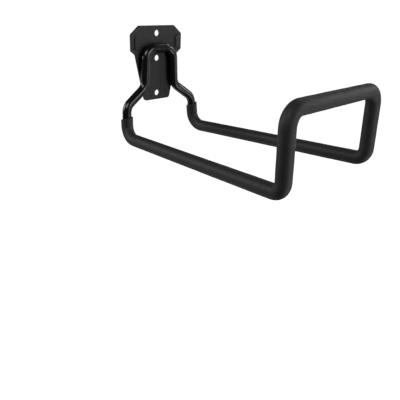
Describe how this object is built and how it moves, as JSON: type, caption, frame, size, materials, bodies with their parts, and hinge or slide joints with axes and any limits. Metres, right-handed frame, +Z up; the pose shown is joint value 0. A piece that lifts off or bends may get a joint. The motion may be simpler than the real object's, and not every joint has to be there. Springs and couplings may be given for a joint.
{
  "type": "hose hanger",
  "caption": "Wall-mounted hose hanger: tapered screw plate carrying a bent rod hook whose arms, front posts and raised front bar wear a foam sleeve.",
  "frame": {"origin": "on the plate's back face, midway between the top and bottom screw holes", "axes": "+X to the right as seen from the room, +Y into the wall, +Z up; the hook reaches towards -Y"},
  "size_m": [0.168, 0.2898, 0.1459],
  "materials": {
    "plate_coat": "satin black coat",
    "rod_coat": "gloss black coat",
    "foam": "matte charcoal foam"
  },
  "bodies": {
    "root": {"wall_plate": "plate_coat", "hook_rod": "rod_coat", "foam_sleeve": "foam"}
  },
  "joints": []
}
